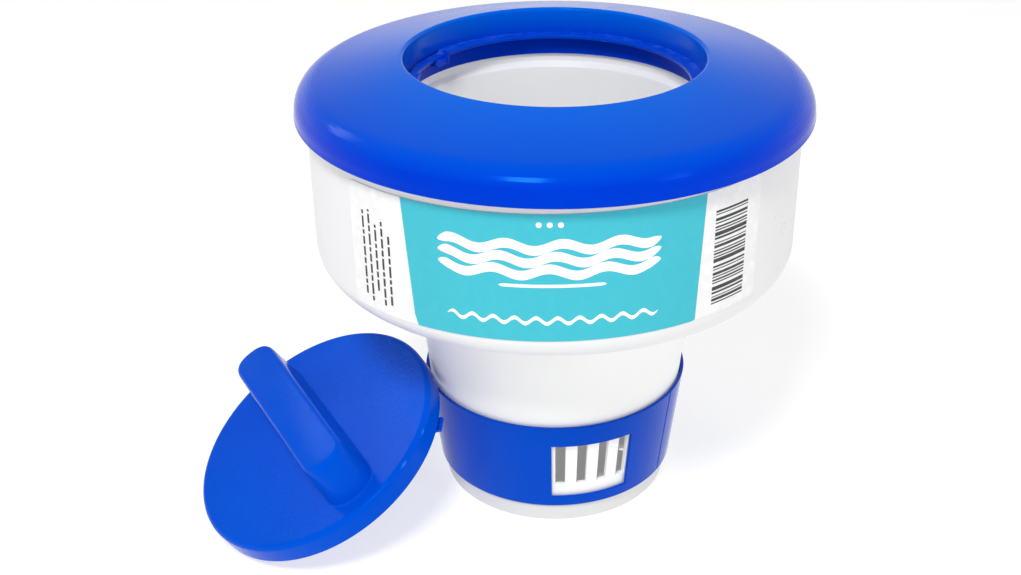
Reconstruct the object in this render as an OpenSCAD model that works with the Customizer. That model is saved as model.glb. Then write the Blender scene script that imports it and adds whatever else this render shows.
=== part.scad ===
// Floating chlorine dispenser: a sealed ring float round a tablet canister, with a twist-lock
// lid for its mouth and a slotted canister whose flow is set by a turning sleeve.
// Origin: centre of the base, on the float's axis. +Z is up, the label faces -Y.
// The lid is off. It leans on its lower edge against the sleeve, at the front left.

/* [Float] */
// Outer diameter over the top ring
ring_d = 200; // [196:1:206]
// Height of the mouth's rim above the base
rim_h = 185.5; // [184:0.5:188]
// Diameter of the mouth
mouth_d = 115.2; // [114.6:0.2:117]
// Slope of the top ring's upper surface, in degrees
ring_slope = 11.8; // [10:0.2:13]
// Radius of the top ring's rounded shoulder
shoulder_r = 11.3; // [9:0.1:12]
// Height of the top ring's lower edge above the base
ring_low_h = 165.5; // [164:0.5:166]
// Diameter of the white float bowl
bowl_d = 190.8; // [186:0.2:191]
// Height of the bowl's underside above the base
bowl_low_h = 103; // [100:1:106]
// Radius round the bowl's lower edge
bowl_fillet_r = 11.2; // [8:0.2:14]
// Wall of the moulded shells
wall = 2; // [1.6:0.1:2.2]

/* [Lid seat] */
// Height of the ledge that the lid stands on
ledge_h = 175.1; // [174.5:0.1:176]
// Inner diameter of the ledge
ledge_d = 104.8; // [104.6:0.1:105.4]
// Thickness of the ledge
ledge_t = 1.5; // [1.2:0.1:1.6]
// Angle of each notch that a lid hook drops through
notch_angle = 29; // [26:1:36]

/* [Canister] */
// Outer diameter of the canister's cone carried down to the base plane
canister_low_d = 94; // [93.4:0.2:94.2]
// Outer diameter of the canister at the sleeve's upper edge, where its slope changes
canister_mid_d = 106.1; // [105.7:0.1:106.3]
// Outer diameter of the canister where it leaves the bowl
canister_top_d = 115.8; // [115:0.2:116.4]
// Number of slot groups round the canister
slot_groups = 2; // [1:1:3]
// Number of slots in a group
slots_per_group = 4; // [2:1:4]
// Width of a slot
slot_w = 4; // [3:0.2:4.4]
// Angle between neighbouring slots
slot_pitch = 10; // [8:0.5:10.5]
// Height of the slots' lower ends
slot_low_h = 19.3; // [17:0.5:22]
// Height of the slots' upper ends
slot_top_h = 44; // [40:1:47]

/* [Dosing sleeve] */
// Height of the sleeve's lower edge
sleeve_low_h = 9; // [9:0.2:10]
// Height of the sleeve's upper edge
sleeve_top_h = 50; // [49:0.1:50.6]
// Wall of the sleeve
sleeve_wall = 1.3; // [1.1:0.1:1.4]
// Running gap between the sleeve and the canister
sleeve_gap = 0.45; // [0.4:0.05:0.5]
// Height of the windows' lower edge
window_low_h = 13.9; // [12:0.5:16]
// Height of the windows' upper edge
window_top_h = 40.4; // [36:0.5:43]
// Angle that one window spans
window_angle = 36.5; // [30:0.5:44]
// Width of the slit where the sleeve's two ends meet
slit_w = 0.4; // [0.3:0.1:1]

/* [Lid] */
// Diameter of the lid's face
lid_d = 107.8; // [107:0.2:108]
// Depth of the lid's skirt
skirt_h = 9.4; // [9:0.1:9.6]
// Wall of the lid
lid_wall = 2.2; // [1.8:0.1:2.4]
// Length of the handle along its foot
handle_l = 93; // [84:1:95]
// Width of the handle at its foot
handle_w = 21.2; // [18:0.2:22]
// Height of the handle above the face
handle_h = 21; // [18:0.5:22]
// How far each side of the handle draws in from foot to top
handle_draft = 1.8; // [1:0.1:3]
// Angle that one hook spans
hook_angle = 7; // [6:0.5:10]

/* [Leaning lid] */
// Angle of the lid's face to the floor
lean_tilt = 29.8; // [29.4:0.1:30.2]
// Direction in which the lid's face slopes down, from +X towards +Y
lean_dir = -148.6; // [-150:0.2:-147]
// Distance of the face's centre from the axis along X
lean_x = -98.9; // [-103:0.1:-98.9]
// Distance of the face's centre from the axis along Y
lean_y = -36.2; // [-39:0.1:-36.2]

/* [Base and label] */
// Diameter of the base at the floor
base_d = 94.4; // [93.8:0.2:95]
// Height of the base cap's rim
base_h = 8.6; // [8:0.1:8.6]
// Number of drain holes in the base
drain_holes = 8; // [4:1:12]
// Diameter of a drain hole
drain_d = 5; // [3:0.5:6]
// Angle that the label spans
label_angle = 98; // [60:1:120]
// Lower edge of the label
label_low_h = 114.4; // [114.4:0.2:120]
// Upper edge of the label
label_top_h = 161.6; // [150:0.2:163]

/* [Hidden] */
$fn = 96;

blue = [0.01, 0.28, 0.85];
dark_blue = [0.02, 0.22, 0.72];
white = [0.93, 0.93, 0.92];

mouth_r = mouth_d / 2;
bowl_r = bowl_d / 2;
ledge_r = ledge_d / 2;
lid_r = lid_d / 2;

// Cover: the shoulder is an arc that the sloping top runs into.
cover_wall = 2.2;
lower_edge_flare = 0.3;
shoulder_c_r = ring_d / 2 - lower_edge_flare - shoulder_r;
shoulder_tangent_r = shoulder_c_r + shoulder_r * sin(ring_slope);
shoulder_c_h = rim_h - (shoulder_tangent_r - mouth_r) * tan(ring_slope) - shoulder_r * cos(ring_slope);
rim_round = 1.2;
collar_low_h = 165.1;
collar_relief = 0.9;
weld_skirt_low_h = 166.5;
weld_skirt_t = 2.2;

// Bowl: its rim stands under the cover's shoulder.
bowl_rim_h = shoulder_c_h + sqrt(pow(shoulder_r - cover_wall, 2) - pow(bowl_r - shoulder_c_r, 2)) - 0.1;

// Canister: a cone through the float and down to the base, then a socket for the collar.
canister_low_r = canister_low_d / 2;
canister_mid_r = canister_mid_d / 2;
canister_top_r = canister_top_d / 2;
cap_rabbet = 0.8;
socket_h = 160.5;
socket_top_h = 172.5;
collar_r = mouth_r + cover_wall;
flange_w = 8;

// Sleeve: its cone runs parallel to the canister's.
slot_centre_az = 17.5;
window_centre_az = 16.8;
slit_az = 60;

// Base cap
cap_floor_low_h = 1;
cap_floor_h = 3.4;
drain_ring_r = 30;

// Lid hooks: they reach through the ledge and turn under it.
skirt_wall = 2.1;
lid_edge_round = 2;
hook_r = lid_r - skirt_wall - 0.05;
hook_t = 2.1;
toe_r = lid_r;
toe_t = 1.4;
toe_gap = 0.3;
hook_low = skirt_h + ledge_t + toe_gap + toe_t;
handle_turn = -2;
handle_wall = 2.2;
handle_edge = 1.4;
hook_turn = 140;

// The lid stands on its skirt's lower edge.
lean_h = lid_r * sin(lean_tilt) + skirt_h * cos(lean_tilt);

// Middle of the first notch
notch_az = 249.5;

// Canister's outer radius at height h, below the float
function canister_r(h) = h < sleeve_top_h
    ? canister_low_r + (canister_mid_r - canister_low_r) * h / sleeve_top_h
    : canister_mid_r + (canister_top_r - canister_mid_r) * (h - sleeve_top_h) / (bowl_low_h - sleeve_top_h);

// Sleeve's inner radius at height h
function sleeve_r(h) = canister_r(h) + sleeve_gap;

// Turns a shape from the front (-Y) by an angle towards +X
module at_azimuth(az) {
    rotate([0, 0, az - 90]) children();
}

// A ring segment with a rectangular section, centred on an azimuth
module arc_block(az, angle, r_in, r_out, h_low, h_top) {
    at_azimuth(az - angle / 2)
        rotate_extrude(angle = angle)
            translate([r_in, h_low])
                square([r_out - r_in, h_top - h_low]);
}

// Section under the top ring's outer surface, moved in by inset
module ring_section(inset) {
    top_at_axis = rim_h + mouth_r * tan(ring_slope) - inset / cos(ring_slope);
    edge_r = ring_d / 2 - inset;
    arc_r = shoulder_r - inset;
    far = 3 * shoulder_r;
    difference() {
        polygon([
            [0, top_at_axis],
            [edge_r + far, top_at_axis - (edge_r + far) * tan(ring_slope)],
            [edge_r + far, shoulder_c_h],
            [edge_r - lower_edge_flare, shoulder_c_h],
            [edge_r, ring_low_h],
            [edge_r, 0],
            [0, 0]
        ]);
        // What lies outside the shoulder's arc
        difference() {
            polygon([
                [shoulder_c_r, shoulder_c_h],
                [shoulder_c_r + far * sin(ring_slope), shoulder_c_h + far * cos(ring_slope)],
                [edge_r + 2 * far, shoulder_c_h + far],
                [edge_r + 2 * far, shoulder_c_h]
            ]);
            translate([shoulder_c_r, shoulder_c_h]) circle(r = arc_r);
        }
    }
}

// What comes off the mouth's sharp edge to leave a rounded rim
module rim_corner() {
    c_r = mouth_r + rim_round;
    c_h = rim_h - rim_round * tan(ring_slope) - rim_round / cos(ring_slope);
    difference() {
        polygon([
            [mouth_r - 1, c_h],
            [c_r, c_h],
            [c_r + 3 * rim_round * sin(ring_slope), c_h + 3 * rim_round * cos(ring_slope)],
            [mouth_r - 1, c_h + 3 * rim_round]
        ]);
        translate([c_r, c_h]) circle(r = rim_round);
    }
}

module float_cover() {
    color(blue)
        rotate_extrude()
            difference() {
                intersection() {
                    ring_section(0);
                    union() {
                        // Shell of the ring
                        difference() {
                            translate([mouth_r, ring_low_h]) square([ring_d, rim_h]);
                            ring_section(cover_wall);
                        }
                        // Collar round the mouth, a little wider below the ledge
                        translate([mouth_r, ledge_h]) square([cover_wall + 1, rim_h - ledge_h]);
                        translate([mouth_r + collar_relief, collar_low_h])
                            square([cover_wall - collar_relief, rim_h - collar_low_h]);
                        // Skirt that the bowl's rim is welded round
                        translate([bowl_r - wall - 0.1 - weld_skirt_t, weld_skirt_low_h])
                            square([weld_skirt_t, rim_h - weld_skirt_low_h]);
                    }
                }
                rim_corner();
            }
}

// Section of the bowl, filled, moved in by inset
module bowl_section(inset) {
    fillet_h = bowl_low_h + bowl_fillet_r;
    translate([0, fillet_h]) square([bowl_r - inset, bowl_rim_h - fillet_h + inset]);
    translate([0, bowl_low_h + inset]) square([bowl_r - bowl_fillet_r, bowl_fillet_r]);
    translate([bowl_r - bowl_fillet_r, fillet_h]) circle(r = bowl_fillet_r - inset);
}

module float_bowl() {
    color(white)
        rotate_extrude()
            difference() {
                bowl_section(0);
                bowl_section(wall);
                square([canister_r(bowl_low_h) + 0.35, 200]);
            }
}

module canister() {
    low_h = cap_floor_h;
    low_r = canister_r(low_h);
    cap_r = canister_r(base_h);
    neck_r = canister_r(bowl_low_h);
    tube_r = collar_r + 0.3;
    first_slot_az = slot_centre_az - slot_pitch * (slots_per_group - 1) / 2;
    color(white)
        difference() {
            rotate_extrude()
                polygon([
                    [low_r - wall, low_h],
                    [low_r - cap_rabbet, low_h],
                    [cap_r - cap_rabbet, base_h],
                    [cap_r, base_h],
                    [canister_mid_r, sleeve_top_h],
                    [neck_r, bowl_low_h],
                    [neck_r + 0.15, bowl_low_h + wall],
                    [neck_r + flange_w, bowl_low_h + wall],
                    [neck_r + flange_w, bowl_low_h + 2 * wall],
                    [neck_r + 0.2, bowl_low_h + 2 * wall],
                    [tube_r, socket_h - 2],
                    [tube_r + wall, socket_h],
                    [tube_r + wall, socket_top_h],
                    [tube_r, socket_top_h],
                    [tube_r, socket_h + 1],
                    [tube_r - wall, socket_h - 1],
                    [neck_r - wall, bowl_low_h],
                    [canister_mid_r - wall, sleeve_top_h]
                ]);
            for (g = [0 : slot_groups - 1], i = [0 : slots_per_group - 1])
                at_azimuth(first_slot_az + 360 / slot_groups * g + slot_pitch * i)
                    translate([low_r - 8, -slot_w / 2, slot_low_h])
                        cube([20, slot_w, slot_top_h - slot_low_h]);
        }
}

module base_cap() {
    base_r = base_d / 2;
    cap_r = canister_r(base_h);
    rim_r = cap_r + 0.8;
    seat_r = canister_r(cap_floor_h) - cap_rabbet;
    color(white)
        difference() {
            rotate_extrude()
                polygon([
                    [0, cap_floor_low_h],
                    [base_r - 5, cap_floor_low_h],
                    [base_r - 4, 0],
                    [base_r - 0.6, 0],
                    [base_r, 0.6],
                    [rim_r, base_h - 0.5],
                    [rim_r - 0.5, base_h],
                    [cap_r - cap_rabbet, base_h],
                    [seat_r, cap_floor_h],
                    [0, cap_floor_h]
                ]);
            for (i = [0 : drain_holes - 1])
                rotate([0, 0, 360 / drain_holes * i])
                    translate([drain_ring_r, 0, -1])
                        cylinder(d = drain_d, h = cap_floor_h + 2);
        }
}

module dosing_sleeve() {
    edge = 0.5;
    low_r = sleeve_r(sleeve_low_h);
    top_r = sleeve_r(sleeve_top_h);
    color(dark_blue)
        difference() {
            rotate_extrude()
                polygon([
                    [low_r, sleeve_low_h],
                    [low_r + sleeve_wall - edge, sleeve_low_h],
                    [low_r + sleeve_wall, sleeve_low_h + edge],
                    [top_r + sleeve_wall, sleeve_top_h - edge],
                    [top_r + sleeve_wall - edge, sleeve_top_h],
                    [top_r, sleeve_top_h]
                ]);
            for (g = [0 : slot_groups - 1])
                arc_block(window_centre_az + 360 / slot_groups * g, window_angle,
                          low_r - 5, top_r + 10, window_low_h, window_top_h);
            at_azimuth(slit_az)
                translate([low_r - 5, -slit_w / 2, 0])
                    cube([20, slit_w, sleeve_top_h + 5]);
        }
}

// Puts the lid's own frame where the lid leans: face centre, X down the slope, Z off the face
module leaning() {
    translate([lean_x, lean_y, lean_h])
        rotate([0, lean_tilt, lean_dir])
            children();
}

// A bar with round ends, lying along Y
module round_bar(length, width) {
    end_y = length / 2 - width / 2;
    for (side = [-1, 1])
        translate([0, side * end_y]) circle(d = width);
    translate([-width / 2, -end_y]) square([width, 2 * end_y]);
}

module lid_disc() {
    color(blue)
        leaning()
            difference() {
                rotate_extrude()
                    difference() {
                        union() {
                            translate([0, -skirt_h]) square([lid_r, skirt_h - lid_edge_round]);
                            translate([0, -skirt_h]) square([lid_r - lid_edge_round, skirt_h]);
                            translate([lid_r - lid_edge_round, -lid_edge_round]) circle(r = lid_edge_round);
                        }
                        translate([-1, -skirt_h - 1])
                            square([lid_r - skirt_wall + 1, skirt_h + 1 - lid_wall]);
                    }
                // The handle is hollow and opens on the lid's underside
                rotate([0, 0, handle_turn])
                    translate([0, 0, -lid_wall - 1])
                        linear_extrude(lid_wall + 2)
                            round_bar(handle_l - 2 * handle_wall, handle_w - 2 * handle_wall);
            }
}

// A thin slice of the handle's outline: inset from the foot, at height h
module handle_slice(inset, h) {
    d = handle_w - 2 * inset;
    end_y = (handle_l - handle_w) / 2;
    for (side = [-1, 1])
        translate([0, side * end_y, h]) cylinder(d = d, h = 0.02, $fn = 48);
}

module lid_handle() {
    color(blue)
        leaning()
            rotate([0, 0, handle_turn])
                difference() {
                    hull() {
                        handle_slice(0, 0);
                        handle_slice(handle_draft * 0.9, handle_h - handle_edge);
                        handle_slice(handle_draft * 0.9 + 0.4 * handle_edge, handle_h - 0.4 * handle_edge);
                        handle_slice(handle_draft + handle_edge, handle_h - 0.02);
                    }
                    hull() {
                        handle_slice(handle_wall, -1);
                        handle_slice(handle_wall + handle_draft, handle_h - handle_wall);
                    }
                }
}

module lid_hooks() {
    color(blue)
        leaning()
            for (side = [0, 180])
                rotate([0, 0, hook_turn + side - hook_angle / 2])
                    rotate_extrude(angle = hook_angle)
                        polygon([
                            [hook_r - hook_t, -lid_wall],
                            [hook_r, -lid_wall],
                            [hook_r, -hook_low + toe_t],
                            [toe_r, -hook_low + toe_t],
                            [toe_r, -hook_low],
                            [hook_r - hook_t, -hook_low]
                        ]);
}

// Ledge inside the mouth: two notches, each over a lower, narrower shelf with a stop at one end
module lid_ledge() {
    low = ledge_h - ledge_t;
    wall_r = mouth_r + collar_relief;
    shelf_r = ledge_r + 2.1;
    stop_r = ledge_r + 0.6;
    post_r = ledge_r + 0.2;
    color(blue)
        for (half = [0, 180]) {
            middle = notch_az + half;
            start = middle - notch_angle / 2;
            arc_block(middle + 90, 180 - notch_angle, ledge_r, wall_r, low, ledge_h);
            arc_block(middle, notch_angle + 2, shelf_r, wall_r - 0.05, low - 1.2, low + 0.3);
            arc_block(start + 2.5, 7, stop_r, wall_r - 0.1, low - 3.3, low - 0.8);
            arc_block(start - 0.2, 1.4, post_r, wall_r - 0.15, low - 3.1, low + 0.5);
        }
}

module label() {
    thickness = 0.25;
    color("turquoise")
        arc_block(0, label_angle, bowl_r, bowl_r + thickness, label_low_h, label_top_h);
}

float_bowl();
float_cover();
lid_ledge();
canister();
base_cap();
dosing_sleeve();
lid_disc();
lid_handle();
lid_hooks();
label();
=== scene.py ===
import math

import bmesh
import bpy
from mathutils import Matrix, Vector


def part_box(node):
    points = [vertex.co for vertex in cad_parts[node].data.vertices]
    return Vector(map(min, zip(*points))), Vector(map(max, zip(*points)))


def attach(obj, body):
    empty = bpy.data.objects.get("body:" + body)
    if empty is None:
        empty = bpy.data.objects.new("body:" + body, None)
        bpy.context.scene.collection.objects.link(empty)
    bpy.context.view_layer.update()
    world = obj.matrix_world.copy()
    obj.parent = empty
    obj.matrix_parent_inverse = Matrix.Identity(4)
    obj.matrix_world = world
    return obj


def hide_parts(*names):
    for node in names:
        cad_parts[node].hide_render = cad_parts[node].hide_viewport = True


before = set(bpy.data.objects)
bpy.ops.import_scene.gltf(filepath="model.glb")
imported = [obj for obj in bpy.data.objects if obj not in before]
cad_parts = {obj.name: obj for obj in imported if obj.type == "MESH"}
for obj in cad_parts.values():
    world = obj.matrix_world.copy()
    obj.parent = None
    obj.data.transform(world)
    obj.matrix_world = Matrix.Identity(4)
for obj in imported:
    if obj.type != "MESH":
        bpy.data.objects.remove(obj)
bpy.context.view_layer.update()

# Looks of a floating chlorine dispenser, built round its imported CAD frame.
# Sections and outlines are written in millimetres, in the frame of the CAD, and become metres in
# build(). An azimuth is an angle in degrees from the front (-Y) towards +X.

MM = 0.001


def mm(value):
    return value * 1000.0


# ---------------------------------------------------------------------------------------------
# Dimensions, from the CAD boxes where a box gives them
# ---------------------------------------------------------------------------------------------

RING_R = mm(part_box("float_cover")[1].x)
RING_LOW = 165.5
RIM_H = 185.5
MOUTH_R = 57.6
RING_SLOPE = math.radians(11.8)
SHOULDER_R = 11.3
EDGE_FLARE = 0.3
COVER_WALL = 2.2
COLLAR_LOW = mm(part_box("float_cover")[0].z)
COLLAR_RELIEF = 0.9

BOWL_R = mm(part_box("float_bowl")[1].x)
BOWL_LOW = mm(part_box("float_bowl")[0].z)
BOWL_TOP = mm(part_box("float_bowl")[1].z)
BOWL_FILLET = 11.2
WALL = 2.0

LEDGE_H = mm(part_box("lid_ledge")[1].z)
LEDGE_R = 52.4
LEDGE_T = 1.5
NOTCH_AZ = 249.5
NOTCH_ANGLE = 29.0
SHELF_R, STOP_R, POST_R = LEDGE_R + 2.1, LEDGE_R + 0.6, LEDGE_R + 0.2
# Lower and upper face of each part at a notch, from the ledge's underside
SHELF_SPAN, STOP_SPAN, POST_SPAN = (-1.2, 0.3), (-3.3, -0.8), (-3.1, 0.5)

CONE_LOW_R, CONE_MID_R, CONE_TOP_R = 47.0, 53.05, 57.9
CANISTER_LOW = mm(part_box("canister")[0].z)
SOCKET_H = 160.5
SOCKET_TOP = mm(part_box("canister")[1].z)
SLOT_LOW, SLOT_TOP, SLOT_W = 19.3, 44.0, 4.0
SLOT_AZ, SLOT_PITCH, SLOTS = 17.5, 10.0, 4

SLEEVE_LOW = mm(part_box("dosing_sleeve")[0].z)
SLEEVE_TOP = mm(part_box("dosing_sleeve")[1].z)
SLEEVE_GAP, SLEEVE_WALL = 0.45, 1.3
WINDOW_LOW, WINDOW_TOP = 13.9, 40.4
WINDOW_AZ, WINDOW_ANGLE = 16.8, 36.5
SLIT_AZ, SLIT_W = 60.0, 0.4

CAP_TOP = mm(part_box("base_cap")[1].z)
CAP_R = 47.2
CAP_RABBET = 0.8
DRAINS, DRAIN_RING_R, DRAIN_R = 8, 30.0, 2.5

LID_R = 53.9
LID_WALL, SKIRT_WALL, SKIRT_H, LID_EDGE = 2.2, 2.1, 9.4, 2.0
HANDLE_L, HANDLE_W, HANDLE_H = 93.0, 21.2, 21.0
HANDLE_DRAFT, HANDLE_WALL, HANDLE_TURN = 1.8, 2.2, -2.0
HANDLE_FOOT, HANDLE_EDGE = 0.6, 1.6
LEAN_TILT, LEAN_DIR = math.radians(29.8), math.radians(-148.6)
LEAN_X, LEAN_Y = -98.9, -36.2

LABEL_AZ = 49.0
LABEL_LOW, LABEL_TOP = 113.6, 161.9
LABEL_T, LABEL_TILT = 0.25, 0.015
PRINT_T = 0.03

# Plain marks that stand where the photograph has print
BAR_WIDTHS = (0.5, 1.1, 0.4, 0.8, 1.5, 0.5, 0.7)
BAR_GAPS = (0.6, 0.5, 0.9, 0.6, 1.2, 0.5)
DASH_COLUMNS = ((119, 152), (117, 153), (122, 148), (117, 151), (118, 146))
DASH_RUNS = (3.1, 1.7, 4.4, 2.3, 3.6)

# Camera, as fitted to the photograph
IMAGE_W = 1021.0
FOCAL_PX, CENTRE_X_PX = 1377.0, 554.9
CAMERA_PLACE, CAMERA_PITCH = (0.0, -0.5046, 0.3534), 0.491


# ---------------------------------------------------------------------------------------------
# Mesh helpers
# ---------------------------------------------------------------------------------------------

def rounded(corners, step=9.0):
    """Points of a closed section. A corner is (r, z, radius of its rounding)."""
    points = []
    for i, (x, z, radius) in enumerate(corners):
        corner = Vector((x, z))
        before = Vector(corners[i - 1][:2]) - corner
        after = Vector(corners[(i + 1) % len(corners)][:2]) - corner
        if radius <= 0:
            points.append((x, z))
            continue
        before.normalize()
        after.normalize()
        half = before.angle(after) / 2
        reach = radius / math.tan(half)
        centre = corner + (before + after).normalized() * (radius / math.sin(half))
        start = corner + before * reach - centre
        end = corner + after * reach - centre
        a0 = math.atan2(start.y, start.x)
        sweep = (math.atan2(end.y, end.x) - a0 + math.pi) % (2 * math.pi) - math.pi
        count = max(2, math.ceil(abs(math.degrees(sweep)) / step))
        for k in range(count + 1):
            a = a0 + sweep * k / count
            points.append((centre.x + radius * math.cos(a), centre.y + radius * math.sin(a)))
    return points


def supported(points, longest=9.0, support=0.35):
    """The same closed section, with points near the ends of each long straight run."""
    out = []
    for i, (x0, z0) in enumerate(points):
        x1, z1 = points[(i + 1) % len(points)]
        length = math.hypot(x1 - x0, z1 - z0)
        out.append((x0, z0))
        if length < 4 * support:
            continue
        inner = max(1, math.ceil((length - 2 * support) / longest))
        places = [support + (length - 2 * support) * k / inner for k in range(inner + 1)]
        out += [(x0 + (x1 - x0) * p / length, z0 + (z1 - z0) * p / length) for p in places]
    return out


def build(name, verts, faces, material, sharp=32.0, place=None):
    """A mesh object from points in millimetres, closed, with smooth shading up to an angle."""
    mesh = bpy.data.meshes.new(name)
    bm = bmesh.new()
    made = [bm.verts.new((x * MM, y * MM, z * MM)) for x, y, z in verts]
    for face in faces:
        bm.faces.new([made[i] for i in face])
    bmesh.ops.remove_doubles(bm, verts=bm.verts, dist=1e-7)
    bmesh.ops.dissolve_degenerate(bm, edges=bm.edges, dist=1e-8)
    bmesh.ops.delete(bm, geom=[v for v in bm.verts if not v.link_faces], context="VERTS")
    bmesh.ops.recalc_face_normals(bm, faces=bm.faces)
    if place is not None:
        bmesh.ops.transform(bm, matrix=place, verts=bm.verts)
    bm.to_mesh(mesh)
    bm.free()
    mesh.shade_smooth()
    mesh.set_sharp_from_angle(angle=math.radians(sharp))
    mesh.materials.append(material)
    obj = bpy.data.objects.new(name, mesh)
    bpy.context.scene.collection.objects.link(obj)
    return obj


def on_ring(r, azimuth, z):
    a = math.radians(azimuth)
    return (r * math.sin(a), -r * math.cos(a), z)


def lathe(name, section, material, segments=288, place=None, sharp=32.0):
    """A closed section turned all the way round Z."""
    count = len(section)
    verts = [on_ring(r, 360 * j / segments, z) for j in range(segments) for r, z in section]
    faces = []
    for j in range(segments):
        k = (j + 1) % segments
        for i in range(count):
            m = (i + 1) % count
            faces.append((j * count + i, j * count + m, k * count + m, k * count + i))
    return build(name, verts, faces, material, sharp, place)


def arc_bar(name, section, az0, az1, material, step=1.5):
    """A closed section swept from one azimuth to another, with flat ends."""
    count = len(section)
    turns = max(2, math.ceil((az1 - az0) / step))
    verts = [
        on_ring(r, az0 + (az1 - az0) * j / turns, z) for j in range(turns + 1) for r, z in section
    ]
    faces = [tuple(range(count)), tuple(reversed(range(turns * count, (turns + 1) * count)))]
    for j in range(turns):
        for i in range(count):
            m = (i + 1) % count
            faces.append((j * count + i, j * count + m, (j + 1) * count + m, (j + 1) * count + i))
    return build(name, verts, faces, material, sharp=40.0)


def between(breaks, step):
    """Sorted values that hold every break and leave no gap wider than step."""
    out = []
    for low, high in zip(breaks[:-1], breaks[1:]):
        count = max(1, math.ceil((high - low) / step - 1e-9))
        out += [low + (high - low) * k / count for k in range(count)]
    return out + [breaks[-1]]


def shell(name, rows, columns, is_hole, material, place=None):
    """A wall round Z with openings. A row is (outer r, outer z, inner r, inner z), the columns are
    azimuths round the full circle, and is_hole(z, azimuth) says where a cell is open."""
    n_rows, n_cols = len(rows), len(columns)
    verts = [on_ring(row[0], az, row[1]) for row in rows for az in columns]
    verts += [on_ring(row[2], az, row[3]) for row in rows for az in columns]

    def outer(i, j):
        return i * n_cols + j % n_cols

    def inner(i, j):
        return n_rows * n_cols + outer(i, j)

    solid = {}
    for i in range(n_rows - 1):
        z = (rows[i][3] + rows[i + 1][3]) / 2
        for j in range(n_cols):
            az0 = columns[j]
            az1 = columns[j + 1] if j + 1 < n_cols else columns[0] + 360
            solid[i, j] = not is_hole(z, (az0 + az1) / 2)
    faces = []
    for (i, j), there in solid.items():
        if not there:
            continue
        faces.append((outer(i, j), outer(i, j + 1), outer(i + 1, j + 1), outer(i + 1, j)))
        faces.append((inner(i, j), inner(i + 1, j), inner(i + 1, j + 1), inner(i, j + 1)))
        if not solid.get((i - 1, j)):
            faces.append((outer(i, j), inner(i, j), inner(i, j + 1), outer(i, j + 1)))
        if not solid.get((i + 1, j)):
            faces.append((outer(i + 1, j), outer(i + 1, j + 1), inner(i + 1, j + 1), inner(i + 1, j)))
        if not solid[i, (j - 1) % n_cols]:
            faces.append((outer(i, j), outer(i + 1, j), inner(i + 1, j), inner(i, j)))
        if not solid[i, (j + 1) % n_cols]:
            faces.append((outer(i, j + 1), inner(i, j + 1), inner(i + 1, j + 1), outer(i + 1, j + 1)))
    return build(name, verts, faces, material, sharp=32.0, place=place)


def soften(obj, width, segments=3):
    """Rounds the hard edges of a piece, and keeps the broad faces flat in the shading."""
    bevel = obj.modifiers.new("edges", "BEVEL")
    bevel.width = width * MM
    bevel.segments = segments
    bevel.limit_method = "ANGLE"
    bevel.angle_limit = math.radians(38)
    bevel.use_clamp_overlap = True
    normals = obj.modifiers.new("normals", "WEIGHTED_NORMAL")
    normals.keep_sharp = True


def cut(obj, cutter):
    """Takes cutter out of obj, and drops the cutter."""
    modifier = obj.modifiers.new("cut", "BOOLEAN")
    modifier.operation = "DIFFERENCE"
    modifier.solver = "EXACT"
    modifier.object = cutter
    bpy.context.view_layer.update()
    evaluated = obj.evaluated_get(bpy.context.evaluated_depsgraph_get())
    mesh = bpy.data.meshes.new_from_object(evaluated)
    obj.modifiers.remove(modifier)
    obj.data = mesh
    mesh.set_sharp_from_angle(angle=math.radians(32))
    bpy.data.objects.remove(cutter)


def onto(obj, body, slot, *nodes):
    """Rides on a body and stands for the CAD nodes named; slot is not used."""
    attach(obj, body)
    if nodes:
        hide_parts(*nodes)
    return obj


# ---------------------------------------------------------------------------------------------
# Materials
# ---------------------------------------------------------------------------------------------

class Nodes:
    """A short way to write a node tree."""

    def __init__(self, tree):
        self.tree = tree

    def add(self, kind, **settings):
        node = self.tree.nodes.new(kind)
        for key, value in settings.items():
            if key in node.inputs.keys():
                node.inputs[key].default_value = value
            else:
                setattr(node, key, value)
        return node

    def link(self, source, target):
        self.tree.links.new(source, target)

    def noise(self, coordinates, scale, detail=4.0, roughness=0.55):
        node = self.add("ShaderNodeTexNoise", Scale=scale, Detail=detail, Roughness=roughness)
        self.link(coordinates, node.inputs["Vector"])
        return node.outputs["Fac"]

    def spread(self, value, from_min, from_max, to_min, to_max):
        node = self.add("ShaderNodeMapRange")
        node.inputs["From Min"].default_value = from_min
        node.inputs["From Max"].default_value = from_max
        node.inputs["To Min"].default_value = to_min
        node.inputs["To Max"].default_value = to_max
        self.link(value, node.inputs["Value"])
        return node.outputs["Result"]

    def mix(self, factor, a, b):
        node = self.add("ShaderNodeMix", data_type="RGBA")
        for socket, value in (("A", a), ("B", b)):
            target = next(s for s in node.inputs if s.name == socket and s.type == "RGBA")
            if isinstance(value, tuple):
                target.default_value = (*value, 1.0)
            else:
                self.link(value, target)
        self.link(factor, next(s for s in node.inputs if s.name == "Factor" and s.type == "VALUE"))
        return next(s for s in node.outputs if s.type == "RGBA")

    def math(self, operation, a, b):
        node = self.add("ShaderNodeMath", operation=operation)
        for socket, value in ((node.inputs[0], a), (node.inputs[1], b)):
            if isinstance(value, (int, float)):
                socket.default_value = value
            else:
                self.link(value, socket)
        return node.outputs[0]


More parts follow.
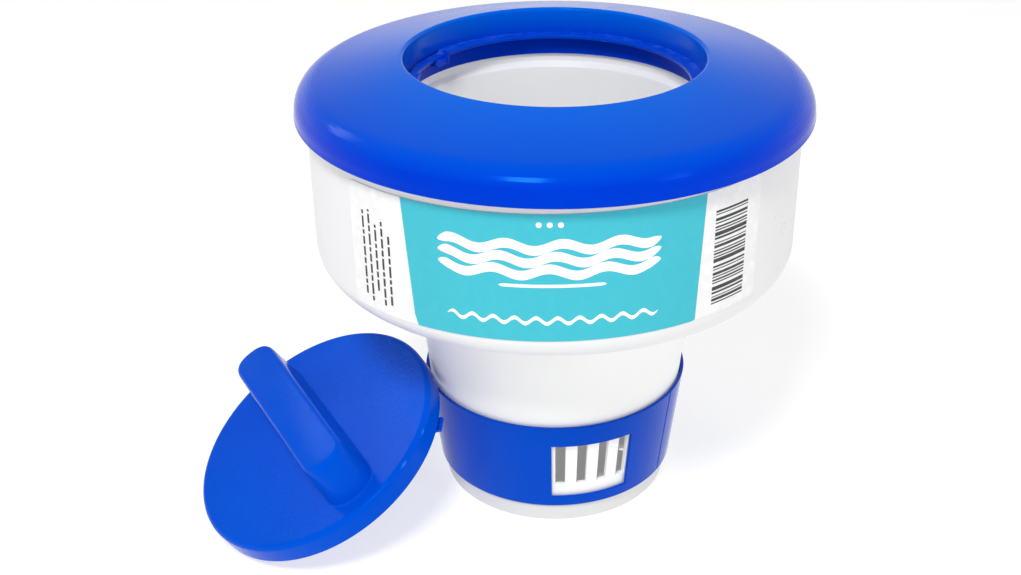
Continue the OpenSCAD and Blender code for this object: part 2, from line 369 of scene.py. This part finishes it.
def plastic(name, base, deep, worn, rough, ripple, specular=0.5, tint=(1.0, 1.0, 1.0),
            ripple_scale=420.0, cloud_depth=1.0, painted_top_light=None, painted_glow=0.0):
    """Moulded plastic: a cloudy colour, finely uneven gloss, rubbed edges and a faint ripple.
    The height ramp, (low z, high z, colour at the top) in metres, is painted light that makes the
    upper faces lighter.
    The glow is painted light: an emission that brightens a piece's shaded parts."""
    material = bpy.data.materials.new(name)
    material.use_nodes = True
    tree = material.node_tree
    tree.nodes.clear()
    n = Nodes(tree)
    place = n.add("ShaderNodeTexCoord").outputs["Object"]
    shader = n.add("ShaderNodeBsdfPrincipled")
    shader.inputs["IOR"].default_value = 1.49
    shader.inputs["Specular IOR Level"].default_value = specular
    shader.inputs["Specular Tint"].default_value = (*tint, 1.0)

    cloud = n.spread(n.noise(place, 22.0), 0.3, 0.7, 0.0, cloud_depth)
    colour = n.mix(cloud, base, deep)
    # Painted light: the colour turns lighter towards the top, standing in for the light that falls on
    # the upper faces.
    if painted_top_light:
        split = n.add("ShaderNodeSeparateXYZ")
        n.link(place, split.inputs[0])
        rise = n.spread(split.outputs["Z"], painted_top_light[0], painted_top_light[1], 0.0, 1.0)
        colour = n.mix(rise, colour, painted_top_light[2])
    edge = n.spread(n.add("ShaderNodeNewGeometry").outputs["Pointiness"], 0.53, 0.62, 0.0, 1.0)
    rubbed = n.math("MULTIPLY", edge, n.spread(n.noise(place, 260.0), 0.45, 0.7, 0.0, 0.45))
    colour = n.mix(rubbed, colour, worn)
    n.link(colour, shader.inputs["Base Color"])
    # Painted glow: emission in the piece's own colour, which lights it with no lamp.
    n.link(colour, shader.inputs["Emission Color"])
    shader.inputs["Emission Strength"].default_value = painted_glow

    haze = n.spread(n.noise(place, 55.0, 5.0), 0.3, 0.7, rough * 0.85, rough * 1.2)
    fine = n.spread(n.noise(place, 900.0, 2.0), 0.3, 0.7, -0.02, 0.02)
    n.link(n.math("ADD", haze, fine), shader.inputs["Roughness"])

    ripples = n.noise(place, ripple_scale, 3.0)
    pits = n.noise(place, 2600.0, 2.0)
    relief = n.math("ADD", ripples, n.math("MULTIPLY", pits, 0.12))
    bump = n.add("ShaderNodeBump", Strength=ripple, Distance=0.0002)
    n.link(relief, bump.inputs["Height"])
    n.link(bump.outputs["Normal"], shader.inputs["Normal"])

    output = n.add("ShaderNodeOutputMaterial")
    n.link(shader.outputs["BSDF"], output.inputs["Surface"])
    return material


BLUE_TINT = (0.02, 0.30, 1.0)
# The cover's colour lightens towards the mouth as painted light on its upward faces.
cover_blue = plastic("cover_blue", (0.000, 0.036, 0.54), (0.000, 0.032, 0.50), (0.10, 0.30, 0.95),
                     rough=0.15, ripple=0.08, specular=0.16, tint=BLUE_TINT,
                     painted_top_light=(0.172, 0.1855, (0.000, 0.112, 0.66)))
lid_blue = plastic("lid_blue", (0.000, 0.078, 0.60), (0.000, 0.066, 0.55), (0.10, 0.30, 0.95),
                   rough=0.15, ripple=0.40, specular=0.10, tint=BLUE_TINT, ripple_scale=800.0)
sleeve_blue = plastic("sleeve_blue", (0.000, 0.060, 0.50), (0.000, 0.052, 0.46), (0.10, 0.28, 0.9),
                      rough=0.08, ripple=0.06, specular=0.16, tint=BLUE_TINT)
shell_white = plastic("shell_white", (0.75, 0.75, 0.755), (0.735, 0.735, 0.74), (0.90, 0.90, 0.90),
                      rough=0.33, ripple=0.08)
# The canister's glow is painted light that brightens its shaded inside.
canister_white = plastic("canister_white", (0.80, 0.80, 0.795), (0.785, 0.785, 0.78),
                         (0.88, 0.88, 0.88), rough=0.36, ripple=0.10, painted_glow=0.10)
base_white = plastic("base_white", (0.66, 0.66, 0.655), (0.645, 0.645, 0.64), (0.76, 0.76, 0.76),
                     rough=0.36, ripple=0.10)
film_white = plastic("film_white", (0.78, 0.78, 0.78), (0.77, 0.77, 0.77), (0.93, 0.93, 0.93),
                     rough=0.40, ripple=0.04, specular=0.4)
film_teal = plastic("film_teal", (0.056, 0.45, 0.54), (0.053, 0.44, 0.53), (0.070, 0.47, 0.56),
                    rough=0.38, ripple=0.02, specular=0.3, tint=(0.2, 0.8, 1.0), cloud_depth=0.5)
print_white = plastic("print_white", (0.90, 0.90, 0.90), (0.86, 0.86, 0.86), (0.93, 0.93, 0.93),
                      rough=0.40, ripple=0.04, specular=0.4)
print_black = plastic("print_black", (0.020, 0.020, 0.022), (0.035, 0.035, 0.037),
                      (0.08, 0.08, 0.08), rough=0.45, ripple=0.04, specular=0.4)


# ---------------------------------------------------------------------------------------------
# Float
# ---------------------------------------------------------------------------------------------

def float_cover():
    edge_r = RING_R - EDGE_FLARE
    slope = math.tan(RING_SLOPE)
    arc_r = SHOULDER_R - COVER_WALL
    inner_r = edge_r - COVER_WALL
    shoulder_z = RIM_H - (edge_r - MOUTH_R) * slope
    centre_z = RIM_H - (edge_r - SHOULDER_R + SHOULDER_R * math.sin(RING_SLOPE) - MOUTH_R) * slope
    centre_z -= SHOULDER_R * math.cos(RING_SLOPE)
    under = COVER_WALL / math.cos(RING_SLOPE)
    collar_r = MOUTH_R + COVER_WALL
    section = rounded([
        (MOUTH_R + COLLAR_RELIEF, COLLAR_LOW, 0.5),
        (MOUTH_R + COLLAR_RELIEF, LEDGE_H, 0.0),
        (MOUTH_R, LEDGE_H, 0.0),
        (MOUTH_R, RIM_H, 1.2),
        (edge_r, shoulder_z, SHOULDER_R),
        (edge_r, centre_z - 0.02, 0.0),
        (RING_R, RING_LOW, 0.5),
        (RING_R - COVER_WALL, RING_LOW, 0.5),
        (inner_r, centre_z - 0.02, 0.0),
        (inner_r, RIM_H - (inner_r - MOUTH_R) * slope - under, arc_r),
        (collar_r, RIM_H - (collar_r - MOUTH_R) * slope - under, 0.5),
        (collar_r, COLLAR_LOW, 0.5),
    ])
    cover = lathe("cover", supported(section), cover_blue, segments=384)
    return onto(cover, "float", "blue_cover", "float_cover")


def float_bowl():
    hole_r = CONE_TOP_R + 0.35
    section = rounded([
        (hole_r, BOWL_LOW, 0.3),
        (BOWL_R, BOWL_LOW, BOWL_FILLET),
        (BOWL_R, BOWL_TOP, 0.5),
        (BOWL_R - WALL, BOWL_TOP, 0.5),
        (BOWL_R - WALL, BOWL_LOW + WALL, BOWL_FILLET - WALL),
        (hole_r, BOWL_LOW + WALL, 0.3),
    ], step=6.0)
    bowl = lathe("bowl", supported(section), shell_white, segments=384)
    return onto(bowl, "float", "white_shell", "float_bowl")


def bar_section(r_in, r_out, low, top, edge=0.3):
    """Section of a bar on the mouth's wall, with its free edges rounded."""
    return rounded([(r_in, low, edge), (r_in, top, edge), (r_out, top, 0.0), (r_out, low, 0.0)],
                   step=15.0)


def lid_ledge():
    low = LEDGE_H - LEDGE_T
    wall_r = MOUTH_R + COLLAR_RELIEF

    def notch_bar(r_in, span):
        return bar_section(r_in, wall_r, low + span[0], low + span[1])

    for k, half in enumerate((0.0, 180.0)):
        middle = NOTCH_AZ + half
        start, end = middle - NOTCH_ANGLE / 2, middle + NOTCH_ANGLE / 2
        parts = {
            "ledge": (bar_section(LEDGE_R, wall_r, low, LEDGE_H, 0.4), end, start + 180.0),
            "ledge_shelf": (notch_bar(SHELF_R, SHELF_SPAN), start - 1.0, end + 1.0),
            "ledge_stop": (notch_bar(STOP_R, STOP_SPAN), start - 1.0, start + 6.0),
            "ledge_post": (notch_bar(POST_R, POST_SPAN), start - 0.9, start + 0.5),
        }
        for name, (section, az0, az1) in parts.items():
            onto(arc_bar(f"{name}_{k + 1}", section, az0, az1, cover_blue), "float", "blue_cover")
    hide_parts("lid_ledge")


# ---------------------------------------------------------------------------------------------
# Canister, base and sleeve
# ---------------------------------------------------------------------------------------------

def cone_r(z):
    """Outer radius of the canister: its slope changes at the sleeve's upper edge."""
    if z < SLEEVE_TOP:
        return CONE_LOW_R + (CONE_MID_R - CONE_LOW_R) * z / SLEEVE_TOP
    return CONE_MID_R + (CONE_TOP_R - CONE_MID_R) * (z - SLEEVE_TOP) / (BOWL_LOW - SLEEVE_TOP)


def columns_with(breaks, step=1.25):
    inside = sorted(b % 360 for b in breaks)
    return between([*inside, inside[0] + 360], step)[:-1]


def slot_edges():
    """Azimuths of both edges of every slot in the canister."""
    half = math.degrees(math.asin(SLOT_W / 2 / (cone_r(SLOT_LOW) + 0.4)))
    first = SLOT_AZ - SLOT_PITCH * (SLOTS - 1) / 2
    centres = [first + SLOT_PITCH * i + turn for turn in (0.0, 180.0) for i in range(SLOTS)]
    return [(c - half, c + half) for c in centres]


def within(azimuth, low, high):
    return (azimuth - low) % 360 < high - low


def canister():
    neck_r = cone_r(BOWL_LOW)
    tube_r = MOUTH_R + COVER_WALL + 0.3
    heights = between([CAP_TOP, SLOT_LOW, SLOT_TOP, SLEEVE_TOP, BOWL_LOW], 9.0)
    rows = [(cone_r(z) - CAP_RABBET, z, cone_r(z) - WALL, z_in)
            for z, z_in in ((CANISTER_LOW, CANISTER_LOW), (CAP_TOP, CAP_TOP - 0.5))]
    rows += [(cone_r(z), z, cone_r(z) - WALL, z) for z in heights]
    flange = [
        (neck_r + 0.15, BOWL_LOW + WALL),
        (neck_r + 8.0, BOWL_LOW + WALL),
        (neck_r + 8.0, BOWL_LOW + 2 * WALL),
        (neck_r + 0.2, BOWL_LOW + 2 * WALL),
    ]
    lift = (tube_r - neck_r) / (SOCKET_H - BOWL_LOW)
    for k, (r, z) in enumerate(flange):
        z_in = BOWL_LOW + (k + 1) * WALL / 2
        rows.append((r, z, neck_r - WALL + lift * (z_in - BOWL_LOW), z_in))
    for z in between([BOWL_LOW + 8.0, SOCKET_H - 2.0], 10.0):
        rows.append((neck_r + 0.2 + lift * (z - BOWL_LOW - 2 * WALL), z,
                     neck_r - WALL + lift * (z - BOWL_LOW), z))
    rows += [
        (tube_r + WALL, SOCKET_H, tube_r - WALL, SOCKET_H - 1.0),
        (tube_r + WALL, SOCKET_H + 2.0, tube_r, SOCKET_H + 1.0),
        (tube_r + WALL, SOCKET_TOP, tube_r, SOCKET_TOP),
    ]
    slots = slot_edges()

    def open_at(z, azimuth):
        return SLOT_LOW < z < SLOT_TOP and any(within(azimuth, a, b) for a, b in slots)

    body = shell("canister_body", rows, columns_with([a for pair in slots for a in pair]),
                 open_at, canister_white)
    soften(body, 0.25, segments=2)
    return onto(body, "float", "white_canister", "canister")


def base_cap():
    rim_r = cone_r(CAP_TOP) + 0.8
    section = rounded([
        (0.0, 1.0, 0.0),
        (CAP_R - 5.0, 1.0, 0.3),
        (CAP_R - 4.0, 0.0, 0.3),
        (CAP_R, 0.0, 0.7),
        (rim_r, CAP_TOP, 0.6),
        (cone_r(CAP_TOP) - CAP_RABBET, CAP_TOP, 0.0),
        (cone_r(CANISTER_LOW) - CAP_RABBET, CANISTER_LOW, 0.0),
        (0.0, CANISTER_LOW, 0.0),
    ], step=12.0)
    cap = lathe("base", supported(section), base_white, segments=288)
    hole = rounded([(0.0, -1.0, 0), (DRAIN_R, -1.0, 0), (DRAIN_R, 5.0, 0), (0.0, 5.0, 0)])
    for k in range(DRAINS):
        x, y, z = on_ring(DRAIN_RING_R, 90 + 360 / DRAINS * k, 0)
        place = Matrix.Translation((x * MM, y * MM, z * MM))
        cut(cap, lathe(f"drain_{k}", hole, base_white, segments=32, place=place))
    return onto(cap, "float", "white_canister", "base_cap")


def dosing_sleeve():
    def row(z):
        r = cone_r(z) + SLEEVE_GAP
        return (r + SLEEVE_WALL, z, r, z)

    heights = between([SLEEVE_LOW, WINDOW_LOW, WINDOW_TOP, SLEEVE_TOP], 7.0)
    slit = math.degrees(SLIT_W / 2 / (cone_r(30.0) + SLEEVE_GAP + SLEEVE_WALL))
    windows = [
        (WINDOW_AZ + turn - WINDOW_ANGLE / 2, WINDOW_AZ + turn + WINDOW_ANGLE / 2)
        for turn in (0.0, 180.0)
    ]

    def open_at(z, azimuth):
        in_window = WINDOW_LOW < z < WINDOW_TOP and any(within(azimuth, a, b) for a, b in windows)
        return in_window or within(azimuth, SLIT_AZ - slit, SLIT_AZ + slit)

    breaks = [a for pair in windows for a in pair] + [SLIT_AZ - slit, SLIT_AZ + slit]
    sleeve = shell("sleeve", [row(z) for z in heights], columns_with(breaks), open_at, sleeve_blue)
    soften(sleeve, 0.35)
    return onto(sleeve, "sleeve", "blue_sleeve", "dosing_sleeve")


# ---------------------------------------------------------------------------------------------
# Lid
# ---------------------------------------------------------------------------------------------

def lid_place():
    height = LID_R * math.sin(LEAN_TILT) + SKIRT_H * math.cos(LEAN_TILT)
    shift = Matrix.Translation((LEAN_X * MM, LEAN_Y * MM, height * MM))
    return shift @ Matrix.Rotation(LEAN_DIR, 4, "Z") @ Matrix.Rotation(LEAN_TILT, 4, "Y")


def bar_outline(width, length, count=24, square=2.5):
    """Outline of a bar with round ends that lies along Y. square over 2 flattens its ends."""
    half_l = (length - width) / 2
    points = []
    for side in (1, -1):
        for k in range(count + 1):
            a = math.pi * k / count
            c, s = math.cos(a), math.sin(a)
            x = math.copysign(abs(c) ** (2 / square), c) * width / 2
            y = abs(s) ** (2 / square) * width / 2
            points.append((side * x, side * (half_l + y)))
    return points


def loft(name, outlines, heights, material, place):
    """A closed skin over outlines of equal count at their heights, with flat ends."""
    count = len(outlines[0])
    verts = [(x, y, z) for points, z in zip(outlines, heights) for x, y in points]
    faces = [tuple(reversed(range(count)))]
    for i in range(len(outlines) - 1):
        for j in range(count):
            k = (j + 1) % count
            faces.append((i * count + j, i * count + k, (i + 1) * count + k, (i + 1) * count + j))
    faces.append(tuple(range((len(outlines) - 1) * count, len(outlines) * count)))
    return build(name, verts, faces, material, sharp=40.0, place=place)


def lid():
    place = lid_place()
    disc_section = rounded([
        (0.0, 0.0, 0.0),
        (LID_R, 0.0, LID_EDGE),
        (LID_R, -SKIRT_H, 0.5),
        (LID_R - SKIRT_WALL, -SKIRT_H, 0.5),
        (LID_R - SKIRT_WALL, -LID_WALL, 0.8),
        (0.0, -LID_WALL, 0.0),
    ])
    disc = lathe("lid_face", supported(disc_section), lid_blue, segments=288, place=place)

    turned = place @ Matrix.Rotation(math.radians(HANDLE_TURN), 4, "Z")
    inner_w, inner_l = HANDLE_W - 2 * HANDLE_WALL, HANDLE_L - 2 * HANDLE_WALL
    opening = bar_outline(inner_w, inner_l)
    cut(disc, loft("opening", [opening, opening], [-LID_WALL - 1, 1], lid_blue, turned))
    onto(disc, "lid", "blue_lid", "lid_disc")

    outlines, heights = [], []

    def station(inset, z):
        outlines.append(bar_outline(HANDLE_W - 2 * inset, HANDLE_L - 2 * inset))
        heights.append(z)

    for k in range(5):
        a = math.pi / 2 * k / 4
        station(-HANDLE_FOOT * (1 - math.sin(a)), HANDLE_FOOT * (1 - math.cos(a)))
    for k in range(1, 6):
        z = HANDLE_FOOT + (HANDLE_H - HANDLE_EDGE - HANDLE_FOOT) * k / 5
        station(HANDLE_DRAFT * z / HANDLE_H, z)
    for k in range(1, 6):
        a = math.pi / 2 * k / 5
        station(HANDLE_DRAFT + HANDLE_EDGE * (1 - math.cos(a)),
                HANDLE_H - HANDLE_EDGE + HANDLE_EDGE * math.sin(a))
    handle = loft("lid_grip", outlines, heights, lid_blue, turned)
    hollow = [bar_outline(inner_w, inner_l),
              bar_outline(inner_w - 2 * HANDLE_DRAFT, inner_l - 2 * HANDLE_DRAFT)]
    cut(handle, loft("hollow", hollow, [-1.0, HANDLE_H - HANDLE_WALL], lid_blue, turned))
    onto(handle, "lid", "blue_lid", "lid_handle")

    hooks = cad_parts["lid_hooks"]
    hooks.data.materials.clear()
    hooks.data.materials.append(lid_blue)


# ---------------------------------------------------------------------------------------------
# Label
# ---------------------------------------------------------------------------------------------

def bowl_surface_r(z):
    """Radius of the bowl's outside at a height, round its lower edge too."""
    start = BOWL_LOW + BOWL_FILLET
    if z >= start:
        return BOWL_R
    return BOWL_R - BOWL_FILLET + math.sqrt(BOWL_FILLET ** 2 - (start - z) ** 2)


def film(name, parts, lift, thickness, material):
    """Flat shapes laid round the bowl. A part is a list of (azimuth, low z, high z)."""
    verts, faces = [], []
    for part in parts:
        first = len(verts)
        for azimuth, low, high in part:
            tilt = LABEL_TILT * BOWL_R * math.radians(azimuth)
            for z in (low + tilt, high + tilt):
                r = bowl_surface_r(z) + lift
                verts.append(on_ring(r, azimuth, z))
                verts.append(on_ring(r + thickness, azimuth, z))
        # each station holds low inner, low outer, high inner, high outer
        for k in range(len(part) - 1):
            a, b = first + 4 * k, first + 4 * (k + 1)
            faces += [
                (a + 1, b + 1, b + 3, a + 3),
                (a, a + 2, b + 2, b),
                (a, b, b + 1, a + 1),
                (a + 2, a + 3, b + 3, b + 2),
            ]
        last = first + 4 * (len(part) - 1)
        faces += [(first, first + 1, first + 3, first + 2), (last, last + 2, last + 3, last + 1)]
    return build(name, verts, faces, material, sharp=40.0)


def stations(az0, az1, step=1.0):
    count = max(1, math.ceil((az1 - az0) / step))
    return [az0 + (az1 - az0) * k / count for k in range(count + 1)]


def block(az0, az1, low, high):
    return [(a, low, high) for a in stations(az0, az1)]


def rounded_sheet(half_az, low, high, corner):
    """A sheet with round corners."""
    corner_az = math.degrees(corner / BOWL_R)
    azimuths = [-half_az + corner_az * (1 - math.cos(math.pi / 2 * k / 6)) for k in range(6)]
    inside = stations(-half_az + corner_az, half_az - corner_az)
    azimuths = azimuths + inside + [-a for a in reversed(azimuths)]
    part = []
    for a in azimuths:
        past = max(0.0, (abs(a) - (half_az - corner_az)) / corner_az)
        inset = corner * (1 - math.sqrt(max(0.0, 1 - past * past)))
        part.append((a, low + inset, high - inset - 1e-3 * (past >= 1)))
    return part


def slanted_panel(low, high):
    """The coloured panel: its ends lean in a little towards the bottom."""
    top_az, low_az = (-33.3, 32.6), (-30.7, 31.0)
    part = []
    for a in stations(top_az[0], top_az[1], 0.8):
        bottom = low
        if a < low_az[0]:
            bottom = low + (high - low) * (low_az[0] - a) / (low_az[0] - top_az[0])
        if a > low_az[1]:
            bottom = low + (high - low) * (a - low_az[1]) / (top_az[1] - low_az[1])
        part.append((a, min(bottom, high - 0.01), high))
    return part


def wave(az0, az1, centre, swing, thickness, waves, phase=0.0):
    part = []
    for a in stations(az0, az1, 0.4):
        share = (a - az0) / (az1 - az0)
        z = centre + swing * math.sin(2 * math.pi * (waves * share + phase))
        fade = min(1.0, share / 0.04, (1 - share) / 0.04)
        half = thickness / 2 * math.sqrt(max(0.02, fade))
        part.append((a, z - half, z + half))
    return part


def disc_mark(azimuth, centre, radius):
    part = []
    for k in range(17):
        c = -math.cos(math.pi * k / 16)
        half = radius * math.sqrt(max(0.0, 1 - c * c)) + 0.01
        part.append((azimuth + math.degrees(c * radius / BOWL_R), centre - half, centre + half))
    return part


def striped_block():
    """Bars of uneven width, one above the other."""
    bars, z, k = [], 117.6, 0
    while z < 154.2:
        width = BAR_WIDTHS[k % len(BAR_WIDTHS)]
        bars.append(block(35.2, 44.6, z, z + width))
        z += width + BAR_GAPS[k % len(BAR_GAPS)]
        k += 1
    return bars


def dashed_columns():
    """Upright columns of dashes of uneven length."""
    dashes = []
    for column, (low, high) in enumerate(DASH_COLUMNS):
        az = -45.0 + 1.9 * column
        z, k = float(low), column
        while z < high:
            run = DASH_RUNS[k % len(DASH_RUNS)]
            dashes.append(block(az, az + 0.55, z, min(high, z + run)))
            z += run + 0.9
            k += 1
    return dashes


def label():
    sheet = film("label_sheet", [rounded_sheet(LABEL_AZ, LABEL_LOW, LABEL_TOP, 3.0)],
                 0.01, LABEL_T, film_white)
    onto(sheet, "float", "label_film", "label")
    top = LABEL_T + 0.01
    panel = film("label_panel", [slanted_panel(LABEL_LOW, LABEL_TOP)], top, PRINT_T, film_teal)
    art = [wave(-24.5, 22.0, z, 1.3, 3.6, 4.0, p) for z, p in
           ((149.8, 0.0), (145.1, 0.12), (140.4, 0.24))]
    art += [disc_mark(a, 158.0, 1.0) for a in (-3.2, -1.0, 1.2)]
    art += [wave(-11.5, 10.5, 135.2, 0.0, 1.2, 1.0)]
    art += [wave(-22.8, 21.8, 121.8, 1.1, 1.5, 10.0)]
    marks = film("label_waves", art, top + PRINT_T, PRINT_T, print_white)
    dark = film("label_marks", striped_block() + dashed_columns(), top, PRINT_T, print_black)
    for piece in (panel, marks, dark):
        onto(piece, "float", "label_film")


float_cover()
float_bowl()
lid_ledge()
canister()
base_cap()
dosing_sleeve()
lid()
label()


# ---------------------------------------------------------------------------------------------
# Studio
# ---------------------------------------------------------------------------------------------

def floor():
    mesh = bpy.data.meshes.new("floor")
    size = 12.0
    mesh.from_pydata([(-size, -size, 0), (size, -size, 0), (size, size, 0), (-size, size, 0)], [],
                     [(0, 1, 2, 3)])
    material = bpy.data.materials.new("floor_white")
    material.use_nodes = True
    tree = material.node_tree
    tree.nodes.clear()
    n = Nodes(tree)
    shader = n.add("ShaderNodeBsdfPrincipled")
    place = n.add("ShaderNodeTexCoord").outputs["Object"]
    paper = n.noise(place, 30.0)
    n.link(n.mix(paper, (0.44, 0.44, 0.44), (0.46, 0.46, 0.46)), shader.inputs["Base Color"])
    shader.inputs["Roughness"].default_value = 0.6
    shader.inputs["Specular IOR Level"].default_value = 0.2
    shader.inputs["Emission Color"].default_value = (1.0, 1.0, 1.0, 1.0)
    shader.inputs["Emission Strength"].default_value = 0.66
    output = n.add("ShaderNodeOutputMaterial")
    n.link(shader.outputs["BSDF"], output.inputs["Surface"])
    mesh.materials.append(material)
    obj = bpy.data.objects.new("floor", mesh)
    bpy.context.scene.collection.objects.link(obj)


def sky():
    """A white tent: bright near the horizon, less bright overhead."""
    world = bpy.data.worlds.new("tent")
    bpy.context.scene.world = world
    world.use_nodes = True
    tree = world.node_tree
    tree.nodes.clear()
    n = Nodes(tree)
    direction = n.add("ShaderNodeTexCoord").outputs["Generated"]
    split = n.add("ShaderNodeSeparateXYZ")
    n.link(direction, split.inputs[0])
    height = n.spread(split.outputs["Z"], 0.12, 0.45, 1.0, 0.42)
    background = n.add("ShaderNodeBackground")
    n.link(height, background.inputs["Strength"])
    background.inputs["Color"].default_value = (1.0, 1.0, 1.0, 1.0)
    output = n.add("ShaderNodeOutputWorld")
    n.link(background.outputs[0], output.inputs["Surface"])


def softbox(name, place, aim, side, power):
    data = bpy.data.lights.new(name, "AREA")
    data.shape = "RECTANGLE"
    data.size, data.size_y = side, side
    data.energy = power
    obj = bpy.data.objects.new(name, data)
    bpy.context.scene.collection.objects.link(obj)
    obj.location = place
    obj.rotation_euler = (Vector(aim) - Vector(place)).to_track_quat("-Z", "Y").to_euler()


def camera():
    data = bpy.data.cameras.new("camera")
    obj = bpy.data.objects.new("camera", data)
    bpy.context.scene.collection.objects.link(obj)
    data.sensor_fit = "HORIZONTAL"
    data.sensor_width = 36.0
    data.lens = data.sensor_width * FOCAL_PX / IMAGE_W
    data.shift_x = -(CENTRE_X_PX - IMAGE_W / 2) / IMAGE_W
    data.clip_start, data.clip_end = 0.01, 50.0
    obj.location = CAMERA_PLACE
    obj.rotation_euler = (math.pi / 2 - CAMERA_PITCH, 0.0, 0.0)
    bpy.context.scene.camera = obj


floor()
sky()
softbox("key", (-0.25, -0.9, 1.3), (0.0, 0.0, 0.08), side=0.3, power=15.0)
softbox("fill", (1.0, -0.8, 0.7), (0.0, 0.0, 0.08), side=0.3, power=2.0)
softbox("rim", (-0.9, 0.5, 0.8), (-0.05, 0.0, 0.05), side=0.25, power=0.8)
camera()
bpy.context.scene.view_settings.view_transform = "Standard"
